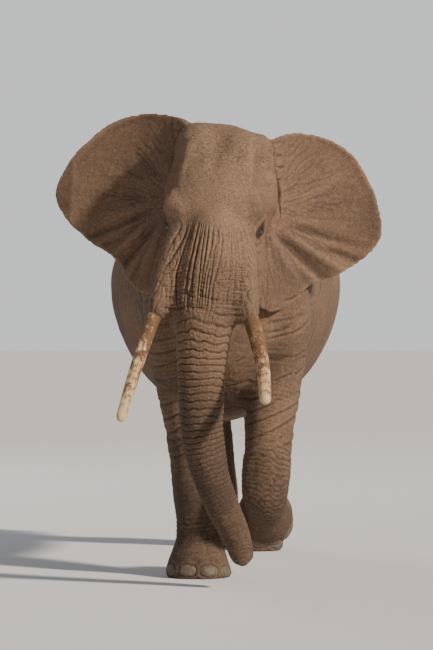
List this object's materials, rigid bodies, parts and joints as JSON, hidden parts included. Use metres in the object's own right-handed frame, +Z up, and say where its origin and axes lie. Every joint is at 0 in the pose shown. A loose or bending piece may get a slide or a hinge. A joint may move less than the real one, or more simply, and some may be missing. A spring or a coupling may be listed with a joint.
{
  "type": "elephant",
  "caption": "African savanna bull elephant in mid stride, a forefoot lifted, trunk hanging and swung to its left, ears spread, worn stained tusks: still life-size model.",
  "frame": {"origin": "middle of the bounding box's bottom face, on the ground between the feet", "axes": "+Z up, the animal faces -Y and its left side is +X"},
  "size_m": [2.3572, 4.7248, 3.3505],
  "materials": {
    "hide": "dry wrinkled hide, dusty grey-brown",
    "ivory": "worn ivory, stained orange-brown, cream at the tips",
    "nail": "dull horn",
    "eye": "wet, dark brown",
    "hair": "coarse dark bristle"
  },
  "bodies": {
    "root": {"ear_left": "hide", "ear_right": "hide", "eye_left": "eye", "eye_right": "eye", "fore_left_foot": "hide", "fore_left_forearm": "hide", "fore_left_upper_arm": "hide", "fore_right_foot": "hide", "fore_right_forearm": "hide", "fore_right_upper_arm": "hide", "head": "hide", "hind_left_foot": "hide", "hind_left_shank": "hide", "hind_left_thigh": "hide", "hind_right_foot": "hide", "hind_right_shank": "hide", "hind_right_thigh": "hide", "lower_jaw": "hide", "nail_fore_left_1": "nail", "nail_fore_left_2": "nail", "nail_fore_left_3": "nail", "nail_fore_left_4": "nail", "nail_fore_right_1": "nail", "nail_fore_right_2": "nail", "nail_fore_right_3": "nail", "nail_fore_right_4": "nail", "nail_hind_left_1": "nail", "nail_hind_left_2": "nail", "nail_hind_left_3": "nail", "nail_hind_right_1": "nail", "nail_hind_right_2": "nail", "nail_hind_right_3": "nail", "neck": "hide", "tail": "hide", "tail_tuft": "hair", "torso": "hide", "trunk_lower": "hide", "trunk_middle": "hide", "trunk_tip": "hide", "trunk_upper": "hide", "tusk_left": "ivory", "tusk_right": "ivory"}
  },
  "joints": []
}
